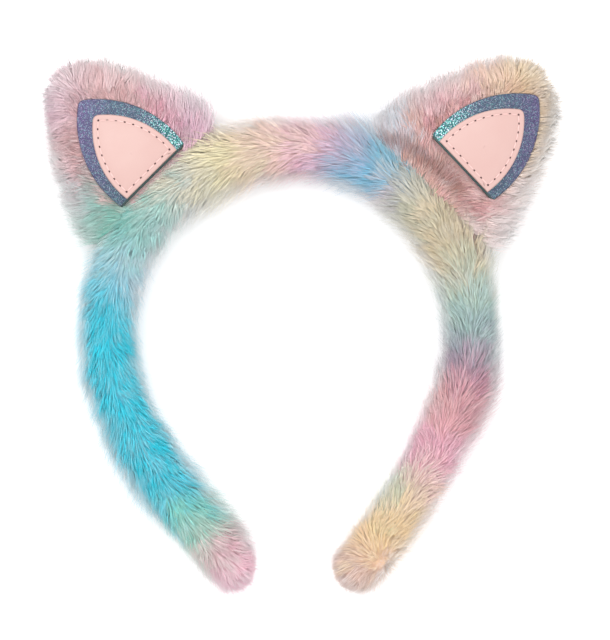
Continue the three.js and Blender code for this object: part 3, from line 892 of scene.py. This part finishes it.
def pile_material():
    if "Dyed plush" in bpy.data.materials:
        return bpy.data.materials["Dyed plush"]
    material = bpy.data.materials.new("Dyed plush")
    nodes, links, shader = shader_nodes(material)
    group = add_node(nodes, "ShaderNodeGroup", node_tree=pile_group())
    for attribute, output, target in (
        ("dye", "Color", "Dye"),
        ("tip", "Fac", "Tip"),
        ("shade", "Fac", "Shade"),
        ("pale", "Fac", "Frost"),
    ):
        reader = add_node(nodes, "ShaderNodeAttribute", attribute_name=attribute)
        links.new(reader.outputs[output], group.inputs[target])
    links.new(group.outputs["Colour"], shader.inputs["Base Color"])
    shader.inputs["Roughness"].default_value = 0.8
    shader.inputs["Specular IOR Level"].default_value = 0.2
    shader.inputs["Subsurface Weight"].default_value = 0.5
    shader.inputs["Subsurface Radius"].default_value = (1, 1, 1)
    shader.inputs["Subsurface Scale"].default_value = 0.0004
    shader.inputs["Sheen Weight"].default_value = 0.35
    shader.inputs["Sheen Roughness"].default_value = 0.5
    return material


def glitter_group():
    """Glitter vinyl: flakes of their own brightness and tilt over a base that shifts from one tint to the next, and
    painted glints of pale teal, lilac and white on the rarer flakes
    """
    if "Glitter flakes" in bpy.data.node_groups:
        return bpy.data.node_groups["Glitter flakes"]
    group, given, result = group_shell(
        "Glitter flakes",
        [
            ("Base", "NodeSocketColor", (0.3, 0.3, 0.5, 1)),
            ("Spark", "NodeSocketFloat", 0.5),
            ("Scale", "NodeSocketFloat", 4200.0),
        ],
        [("Colour", "NodeSocketColor"), ("Roughness", "NodeSocketFloat"), ("Height", "NodeSocketFloat")],
    )
    nodes, links = group.nodes, group.links
    flakes = add_node(nodes, "ShaderNodeTexVoronoi", feature="F1")
    links.new(nodes.new("ShaderNodeTexCoord").outputs["Object"], flakes.inputs["Vector"])
    links.new(given.outputs["Scale"], flakes.inputs["Scale"])
    split = nodes.new("ShaderNodeSeparateColor")
    links.new(flakes.outputs["Color"], split.inputs["Color"])
    level = maths(nodes, links, "MULTIPLY_ADD", split.outputs[0], 0.7, 0.6)
    grey = nodes.new("ShaderNodeCombineColor")
    for socket in grey.inputs:
        links.new(level, socket)
    lit = mix_colour(nodes, links, "MULTIPLY", 1.0, given.outputs["Base"], grey.outputs["Color"])
    # Painted glints: pale teal, lilac and white for the rarer flakes
    hue = add_node(nodes, "ShaderNodeValToRGB")
    hue.color_ramp.interpolation = "CONSTANT"
    hue.color_ramp.elements[0].color = (0.35, 0.85, 0.80, 1)
    hue.color_ramp.elements[1].color = (0.80, 0.70, 0.95, 1)
    hue.color_ramp.elements[1].position = 0.55
    third = hue.color_ramp.elements.new(0.82)
    third.color = (0.95, 0.98, 1.0, 1)
    links.new(split.outputs[1], hue.inputs["Fac"])
    rare = maths(nodes, links, "GREATER_THAN", split.outputs[2], 0.78)
    bright = maths(nodes, links, "MULTIPLY", rare, given.outputs["Spark"])
    sparked = mix_colour(nodes, links, "MIX", bright, lit, hue.outputs["Color"])
    links.new(sparked, result.inputs["Colour"])
    smooth = maths(nodes, links, "MULTIPLY_ADD", split.outputs[1], 0.3, 0.2)
    links.new(smooth, result.inputs["Roughness"])
    links.new(split.outputs[0], result.inputs["Height"])
    return group


def glitter_material(name):
    """Violet at the tip, slate on the sides and teal by the band, measured along the ear in its own plane. The shift of
    tint is painted iridescent reflection, and the glints on the rarer flakes are painted too, strongest by the band
    """
    p = panels()
    ear = EARS[name]
    material = bpy.data.materials.new(f"Glitter vinyl {name}")
    nodes, links, shader = shader_nodes(material)
    ahead, side = ear_axes(ear)
    base = mm(form().arch_radius) + ear["seat"]
    origin = to_row(ahead * base + side * ear["shift"] * mm(form().ear_width))
    place = add_node(nodes, "ShaderNodeMapping", vector_type="TEXTURE")
    place.inputs["Location"].default_value = origin
    place.inputs["Rotation"].default_value = (0, 0, math.radians(ear["angle"] + ear["turn"]))
    place.inputs["Scale"].default_value = (p.height, p.height, p.height)
    links.new(nodes.new("ShaderNodeTexCoord").outputs["Object"], place.inputs["Vector"])
    split = nodes.new("ShaderNodeSeparateXYZ")
    links.new(place.outputs["Vector"], split.inputs["Vector"])
    inner = 1 if name == "right" else -1
    across = maths(nodes, links, "MULTIPLY", split.outputs["Y"], float(inner))
    run = maths(nodes, links, "SUBTRACT", split.outputs["X"], across)
    noise = add_node(nodes, "ShaderNodeTexNoise")
    noise.inputs["Scale"].default_value = 9
    links.new(place.outputs["Vector"], noise.inputs["Vector"])
    wander = maths(nodes, links, "MULTIPLY_ADD", noise.outputs["Fac"], 0.12, 0.24)
    run = maths(nodes, links, "MULTIPLY_ADD", run, 0.7, wander)
    # Painted iridescent reflection: the tint runs from teal by the band through slate to violet at the tip
    ramp = add_node(nodes, "ShaderNodeValToRGB")
    ramp.color_ramp.elements[0].color = (*p.teal, 1)
    ramp.color_ramp.elements[0].position = 0.2
    ramp.color_ramp.elements[1].color = (*p.violet, 1)
    ramp.color_ramp.elements[1].position = 0.97
    ramp.color_ramp.elements.new(0.36).color = (*p.slate, 1)
    ramp.color_ramp.elements.new(0.66).color = (*p.slate, 1)
    links.new(run, ramp.inputs["Fac"])
    group = add_node(nodes, "ShaderNodeGroup", node_tree=glitter_group())
    # How strong the painted glints are: most by the band, least at the tip
    sparkle = maths(nodes, links, "MULTIPLY_ADD", run, -2.2, 1.25)
    sparkle = maths(nodes, links, "MINIMUM", sparkle, 0.85)
    sparkle = maths(nodes, links, "MAXIMUM", sparkle, 0.22)
    # The strip of glitter under the pink panel's straight edge is painted shadow: near black, with no glints
    inside = maths(nodes, links, "GREATER_THAN", split.outputs["X"], p.base_border / p.height)
    links.new(maths(nodes, links, "MULTIPLY", sparkle, inside), group.inputs["Spark"])
    shadow_strip = (0.03, 0.055, 0.055, 1)
    links.new(mix_colour(nodes, links, "MIX", inside, shadow_strip, ramp.outputs["Color"]), group.inputs["Base"])
    links.new(group.outputs["Colour"], shader.inputs["Base Color"])
    links.new(group.outputs["Roughness"], shader.inputs["Roughness"])
    bump = nodes.new("ShaderNodeBump")
    bump.inputs["Strength"].default_value = 0.35
    bump.inputs["Distance"].default_value = 0.0003
    links.new(group.outputs["Height"], bump.inputs["Height"])
    links.new(bump.outputs["Normal"], shader.inputs["Normal"])
    shader.inputs["Metallic"].default_value = 0.45
    return material


def pink_material():
    """Pale pink faux leather with a fine grain, soft creases and a slightly uneven colour"""
    if "Pink leather" in bpy.data.materials:
        return bpy.data.materials["Pink leather"]
    p = panels()
    material = bpy.data.materials.new("Pink leather")
    nodes, links, shader = shader_nodes(material)
    coordinates = nodes.new("ShaderNodeTexCoord").outputs["Object"]
    cloud = add_node(nodes, "ShaderNodeTexNoise")
    cloud.inputs["Scale"].default_value = 60
    links.new(coordinates, cloud.inputs["Vector"])
    deeper = tuple(c * k for c, k in zip(p.pink, (0.94, 0.86, 0.86)))
    tint = mix_colour(nodes, links, "MIX", cloud.outputs["Fac"], (*p.pink, 1), (*deeper, 1))
    links.new(tint, shader.inputs["Base Color"])
    grain = add_node(nodes, "ShaderNodeTexVoronoi", feature="DISTANCE_TO_EDGE")
    grain.inputs["Scale"].default_value = 1500
    links.new(coordinates, grain.inputs["Vector"])
    soft = add_node(nodes, "ShaderNodeTexNoise")
    soft.inputs["Scale"].default_value = 420
    soft.inputs["Detail"].default_value = 3
    links.new(coordinates, soft.inputs["Vector"])
    height = maths(nodes, links, "MULTIPLY_ADD", soft.outputs["Fac"], 1.2, grain.outputs["Distance"])
    bump = nodes.new("ShaderNodeBump")
    bump.inputs["Strength"].default_value = 0.12
    bump.inputs["Distance"].default_value = 0.0003
    links.new(height, bump.inputs["Height"])
    links.new(bump.outputs["Normal"], shader.inputs["Normal"])
    rough = maths(nodes, links, "MULTIPLY_ADD", soft.outputs["Fac"], 0.14, 0.34)
    links.new(rough, shader.inputs["Roughness"])
    return material


def small_material(name, tint, roughness):
    """Thread, or the painted shade inside a needle hole, with a fine uneven tone"""
    if name in bpy.data.materials:
        return bpy.data.materials[name]
    material = bpy.data.materials.new(name)
    nodes, links, shader = shader_nodes(material)
    noise = add_node(nodes, "ShaderNodeTexNoise")
    noise.inputs["Scale"].default_value = 3000
    links.new(nodes.new("ShaderNodeTexCoord").outputs["Object"], noise.inputs["Vector"])
    darker = tuple(c * 0.8 for c in tint)
    mixed = mix_colour(nodes, links, "MIX", noise.outputs["Fac"], (*tint, 1), (*darker, 1))
    links.new(mixed, shader.inputs["Base Color"])
    shader.inputs["Roughness"].default_value = roughness
    return material


# Pieces


def pile_density():
    """Fibres on a square millimetre"""
    return 4.3


def make_pile(name, skin, comb, dye, size, slot, rng, most=30500):
    """The pile on a skin as a mesh under the triangles that a piece may have"""
    places = skin.spread(pile_density(), rng)
    start, middle, tip, out, *looks = grow(skin, places, comb, dye, size, rng)
    middle, tip, stays = clear_fibres(start, middle, tip, rng)
    kept = np.flatnonzero(stays)
    if len(kept) > most:
        kept = np.sort(rng.choice(kept, most, replace=False))
    thickness = mm(pile().fibre) * 1.0
    parts = (a[kept] for a in (start, middle, tip, out, *looks))
    mesh = fibre_mesh(name, *parts, thickness, rng)
    print(name, "fibres", len(kept), "of", len(places[0]))
    return new_piece(name, mesh, pile_material(), slot)


def backing_colours(mesh, dye_at):
    """Gives a backing's corners the dye of the pile over them"""
    tints = np.concatenate([dye_at, np.ones((len(dye_at), 1))], 1)
    mesh.attributes.new("dye", "FLOAT_COLOR", "POINT").data.foreach_set("color", tints.astype(np.float32).reshape(-1))
    mesh.attributes.new("tip", "FLOAT", "POINT").data.foreach_set("value", np.full(len(dye_at), 0.25, np.float32))
    mesh.attributes.new("shade", "FLOAT", "POINT").data.foreach_set("value", np.full(len(dye_at), 0.5, np.float32))
    mesh.attributes.new("pale", "FLOAT", "POINT").data.foreach_set("value", np.full(len(dye_at), 0.4, np.float32))


class HEADBAND_OT_band(bpy.types.Operator):
    """Make the plush of the band: its stuffed backing and the deep pile on it"""

    bl_idname = "headband.band"
    bl_label = "Plush band"

    def execute(self, context):
        f = form()
        end, cap = band_length(), mm(f.tip_length)
        rows, sides = 240, 40
        around = np.linspace(0, TURN, sides, endpoint=False)
        rounding = np.linspace(0, math.pi / 2, 7)
        right_cap, left_cap = -cap * np.cos(rounding)[:-1], end + cap * np.sin(rounding)[1:]
        steps = np.concatenate([right_cap, np.linspace(0, end, rows - 12), left_cap])

        def ring(row):
            return band_skin(np.full(sides, steps[row]), around, 0.4)

        mesh = ring_mesh("band_backing", sides, rows, ring)
        points = np.array([v.co for v in mesh.vertices]) / MM - arch_centre()
        samples = np.linspace(0, end, 700)
        middles, _, outwards = band_frames(samples)
        tree = KDTree(len(samples))
        for i, p in enumerate(middles):
            tree.insert((p[0], p[1], 0), i)
        tree.balance()
        near = np.array([tree.find((p[0], p[1], 0))[1] for p in points])
        across = np.clip(np.sum((points - middles[near]) * outwards[near], 1) / (mm(f.band_width) / 2), -1, 1)
        backing_colours(mesh, band_dye(samples[near], np.arccos(across)))
        backing = new_piece("band_backing", mesh, pile_material(), "band_fur", "fur_band")
        cuts = [-cap + 0.01, 0.345 * end, 0.665 * end, end + cap - 0.01]
        for i, name in enumerate(("band_pile_right", "band_pile_crown", "band_pile_left")):
            skin = Skin(band_skin, cuts[i], cuts[i + 1])
            rng = np.random.default_rng(40 + i)
            make_pile(name, skin, band_comb, band_dye, mm(pile().band_pile), "band_fur", rng)
        return {"FINISHED"}


class HEADBAND_OT_ears(bpy.types.Operator):
    """Make the plush of both ears: the stuffed backings and the deep pile on them"""

    bl_idname = "headband.ears"
    bl_label = "Plush ears"

    def execute(self, context):
        rows, sides = 60, 56
        around = np.linspace(0, TURN, sides, endpoint=False)
        for i, (name, ear) in enumerate(EARS.items()):
            root, tip = ear_ends(ear)
            rise = np.concatenate([[0], np.sin(np.linspace(0, math.pi / 2, rows - 1))])

            def ring(row, ear=ear, root=root, tip=tip, rise=rise):
                if row == 0:
                    wide, _, middle = ear_section(ear, np.array([root]))
                    return ear_place(ear, np.array([root] * sides), np.full(sides, middle[0]), mm(form().ear_middle))
                return ear_skin(ear, np.full(sides, root + (tip - root) * rise[row]), around, 0.4)

            mesh = ring_mesh(f"ear_backing_{name}", sides, rows, ring)
            ahead, side = ear_axes(ear)
            points = np.array([v.co for v in mesh.vertices]) / MM - arch_centre()
            backing_colours(mesh, ear_colours(name, points @ ahead, points @ side))
            backing = new_piece(f"ear_backing_{name}", mesh, pile_material(), "ear_fur", f"fur_ear_{name}")

            def skin_of(away, turn, ear=ear):
                return ear_skin(ear, away, turn)

            skin = Skin(skin_of, mm(form().arch_radius) + 5, tip - 0.02)
            rng = np.random.default_rng(60 + i)
            make_pile(f"ear_pile_{name}", skin, ear_comb(ear), ear_dye(name), mm(pile().ear_pile), "ear_fur", rng)
        return {"FINISHED"}


def panel_rows(size, rings, ear, lift, thickness, swell):
    """A function that gives a row of a panel's points. Each ring has inset in mm or spread from the middle, and height"""
    centre = np.array([0, size["height"] * 0.38])

    def row_points(row):
        inset, spread, height = rings[row]
        edge = panel_outline(size, inset)
        spots = centre + (edge - centre) * spread + [0, size["base"]]
        away, lateral = panel_to_ear(ear, spots)
        rise = swell * (1 - min(1, spread) ** 2) * height
        return ear_place(ear, away, lateral, ear_front(ear, away, lateral) + lift + height * thickness + rise)

    return row_points, len(panel_outline(size))


class HEADBAND_OT_glitter(bpy.types.Operator):
    """Make the glitter vinyl panels with their trimmed edges"""

    bl_idname = "headband.glitter"
    bl_label = "Glitter panels"

    def execute(self, context):
        p = panels()
        rings = [(0, 0, 1), (0, 0.3, 1), (0, 0.6, 1), (0, 0.85, 1), (0.5, 1, 1), (0.2, 1, 1), (0.08, 1, 0.97)]
        rings += [(0.02, 1, 0.9), (0, 1, 0.78), (0, 1, 0.2), (0, 1, 0), (0.4, 1, 0), (0, 0.6, 0), (0, 0.3, 0), (0, 0, 0)]
        for name, ear in EARS.items():
            ring, sides = panel_rows(glitter_size(), rings, ear, mm(p.seat_gap), mm(p.glitter_thickness), 0.0)
            mesh = ring_mesh(f"glitter_face_{name}", sides, len(rings), ring)
            new_piece(mesh.name, mesh, glitter_material(name), "glitter_vinyl", f"glitter_panel_{name}")
        return {"FINISHED"}


class HEADBAND_OT_pink(bpy.types.Operator):
    """Make the pink leather panels, drawn in a little along the stitches"""

    bl_idname = "headband.pink"
    bl_label = "Pink panels"

    def execute(self, context):
        p = panels()
        inset = mm(p.stitch_inset)
        rings = [(inset, 0, 1.12), (inset, 0.08, 1.12), (inset, 0.2, 1.12), (inset, 0.35, 1.12), (inset, 0.55, 1.12)]
        rings += [(inset, 0.75, 1.1), (inset, 0.9, 1.0)]
        rings += [(inset, 0.96, 0.9), (inset, 1, 0.84), (inset * 0.8, 1, 0.88), (inset * 0.5, 1, 0.97)]
        rings += [(0.55, 1, 0.99), (0.35, 1, 0.95), (0.22, 1, 0.86), (0.16, 1, 0.7), (0, 1, 0.45), (0, 1, 0)]
        rings += [(0.5, 1, 0), (0, 0.6, 0), (0, 0.3, 0), (0, 0, 0)]
        lift = mm(2 * p.seat_gap + p.glitter_thickness)
        for name, ear in EARS.items():
            ring, sides = panel_rows(pink_size(), rings, ear, lift, mm(p.pink_thickness), 0.0)
            mesh = ring_mesh(f"pink_face_{name}", sides, len(rings), ring)
            new_piece(mesh.name, mesh, pink_material(), "pink_leather", f"pink_panel_{name}")
        return {"FINISHED"}


def stitch_spots():
    """Needle holes along the three edges of a pink panel, each with the direction of its edge"""
    p = panels()
    size = pink_size()
    line = panel_outline(size, mm(p.stitch_inset), 2, 120, 4)
    top = np.argmax(line[:, 1])
    edges = [
        (line[[0, 2]], mm(p.base_pitch)),
        (line[2 : top + 1], mm(p.side_pitch)),
        (np.concatenate([line[top:], line[:1]]), mm(p.side_pitch)),
    ]
    rows = []
    for edge, pitch in edges:
        run = np.concatenate([[0], np.cumsum(np.linalg.norm(np.diff(edge, axis=0), axis=1))])
        at = np.linspace(0, run[-1], round(run[-1] / pitch) + 1)
        rows.append(np.stack([np.interp(at, run, edge[:, 0]), np.interp(at, run, edge[:, 1])], -1) + [0, size["base"]])
    return rows


def bead(bm, sides, rows, centre, axis, sizes):
    """A small rounded body, long on its axis"""
    made = bmesh.ops.create_uvsphere(bm, u_segments=sides, v_segments=rows, radius=1)["verts"]
    turn = Vector((1, 0, 0)).rotation_difference(Vector(axis)).to_matrix().to_4x4()
    move = Matrix.Translation(Vector(centre)) @ turn @ Matrix.Diagonal((*[s * MM for s in sizes], 1))
    bmesh.ops.transform(bm, matrix=move, verts=made)


class HEADBAND_OT_stitches(bpy.types.Operator):
    """Make the needle holes as small beads of painted shade, and the thread along the edges of the pink panels"""

    bl_idname = "headband.stitches"
    bl_label = "Stitches"

    def execute(self, context):
        p = panels()
        top = mm(2 * p.seat_gap + p.glitter_thickness + 0.84 * p.pink_thickness)
        thread = small_material("Pink thread", p.thread, 0.6)
        # Painted shade for the needle holes
        hole_shade_material = small_material("Needle hole", p.hole, 0.9)
        for name, ear in EARS.items():
            holes, threads = bmesh.new(), bmesh.new()
            for row in stitch_spots():
                away, lateral = panel_to_ear(ear, row)
                points = to_row(ear_place(ear, away, lateral, ear_front(ear, away, lateral) + top))
                for i, here in enumerate(points):
                    other = points[min(i + 1, len(points) - 1)] - points[min(i, len(points) - 2)]
                    along = other / np.linalg.norm(other)
                    # A flat bead of painted shade where each needle hole is
                    bead(holes, 10, 6, here, along, (0.52, 0.36, 0.10))
                    if i + 1 < len(points):
                        middle = (here + points[i + 1]) / 2
                        half = np.linalg.norm(other) / MM / 2 - 0.25
                        bead(threads, 8, 8, middle + [0, 0, 0.05 * MM], along, (half, 0.27, 0.22))
            for bm, label, material in ((holes, "hole_shade_beads", hole_shade_material), (threads, "thread", thread)):
                mesh = bpy.data.meshes.new(f"{label}_{name}")
                bm.to_mesh(mesh)
                bm.free()
                mesh.shade_smooth()
                new_piece(mesh.name, mesh, material, "pink_leather")
        return {"FINISHED"}


class HEADBAND_OT_stage(bpy.types.Operator):
    """Make the pale floor, the soft light and the camera that looks straight down"""

    bl_idname = "headband.stage"
    bl_label = "Stage"

    def execute(self, context):
        s = context.scene.headband_stage
        bm = bmesh.new()
        bmesh.ops.create_grid(bm, x_segments=4, y_segments=4, size=2.0)
        mesh = bpy.data.meshes.new("floor")
        bm.to_mesh(mesh)
        bm.free()
        floor = bpy.data.objects.new("floor", mesh)
        context.scene.collection.objects.link(floor)
        material = bpy.data.materials.new("Pale floor")
        nodes, links, shader = shader_nodes(material)
        shader.inputs["Base Color"].default_value = (*s.floor, 1)
        shader.inputs["Roughness"].default_value = 0.9
        shader.inputs["Specular IOR Level"].default_value = 0.1
        mesh.materials.append(material)
        world = bpy.data.worlds.new("Pale room")
        world.use_nodes = True
        world.node_tree.nodes["Background"].inputs["Color"].default_value = (1, 1, 1, 1)
        world.node_tree.nodes["Background"].inputs["Strength"].default_value = s.sky_strength
        context.scene.world = world
        for name, place, power, size in (
            ("key", (-0.25, 0.35, 0.95), s.key_power, 0.9),
            ("fill", (0.6, -0.4, 0.9), s.key_power * 0.35, 0.9),
        ):
            light = bpy.data.lights.new(name, "AREA")
            light.energy = power
            light.size = size
            lamp = bpy.data.objects.new(name, light)
            lamp.location = place
            lamp.rotation_mode = "QUATERNION"
            lamp.rotation_quaternion = (-Vector(place)).to_track_quat("-Z", "Y")
            context.scene.collection.objects.link(lamp)
        lens = bpy.data.cameras.new("camera")
        lens.sensor_width = 36
        lens.lens = 36 * (s.distance - 0.012) / (FRAME_SIZE[1] * s.pixel)
        lens.clip_start, lens.clip_end = 0.05, 10
        camera = bpy.data.objects.new("camera", lens)
        centre = arch_centre() * MM + np.array([15, 10, 0]) * s.pixel
        camera.location = (centre[0], centre[1], s.distance)
        context.scene.collection.objects.link(camera)
        context.scene.camera = camera
        context.scene.view_settings.view_transform = "Standard"
        return {"FINISHED"}


class HEADBAND_PT_sidebar(bpy.types.Panel):
    """Lists the pieces of the headband with their sizes and colours"""

    bl_idname = "HEADBAND_PT_sidebar"
    bl_label = "Cat Ears Headband"
    bl_space_type = "VIEW_3D"
    bl_region_type = "UI"
    bl_category = "Headband"

    def draw(self, context):
        for operator in OPERATORS:
            self.layout.operator(operator.bl_idname)
        for name in SETTINGS:
            box = self.layout.box()
            settings = getattr(context.scene, name)
            for key in settings.bl_rna.properties.keys():
                if key not in ("rna_type", "name"):
                    box.prop(settings, key)


SETTINGS = {
    "headband_form": HeadbandForm,
    "headband_pile": HeadbandPile,
    "headband_dyes": HeadbandDyes,
    "headband_panels": HeadbandPanels,
    "headband_stage": HeadbandStage,
}
OPERATORS = (
    HEADBAND_OT_band,
    HEADBAND_OT_ears,
    HEADBAND_OT_glitter,
    HEADBAND_OT_pink,
    HEADBAND_OT_stitches,
    HEADBAND_OT_stage,
)


def register():
    for name, group in SETTINGS.items():
        bpy.utils.register_class(group)
        setattr(bpy.types.Scene, name, PointerProperty(type=group))
    for operator in OPERATORS:
        bpy.utils.register_class(operator)
    bpy.utils.register_class(HEADBAND_PT_sidebar)


def unregister():
    bpy.utils.unregister_class(HEADBAND_PT_sidebar)
    for operator in reversed(OPERATORS):
        bpy.utils.unregister_class(operator)
    for name, group in reversed(SETTINGS.items()):
        delattr(bpy.types.Scene, name)
        bpy.utils.unregister_class(group)


def main():
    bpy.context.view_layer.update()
    register()
    bpy.ops.headband.band()
    bpy.ops.headband.ears()
    bpy.ops.headband.glitter()
    bpy.ops.headband.pink()
    bpy.ops.headband.stitches()
    bpy.ops.headband.stage()


if __name__ == "__main__":
    main()
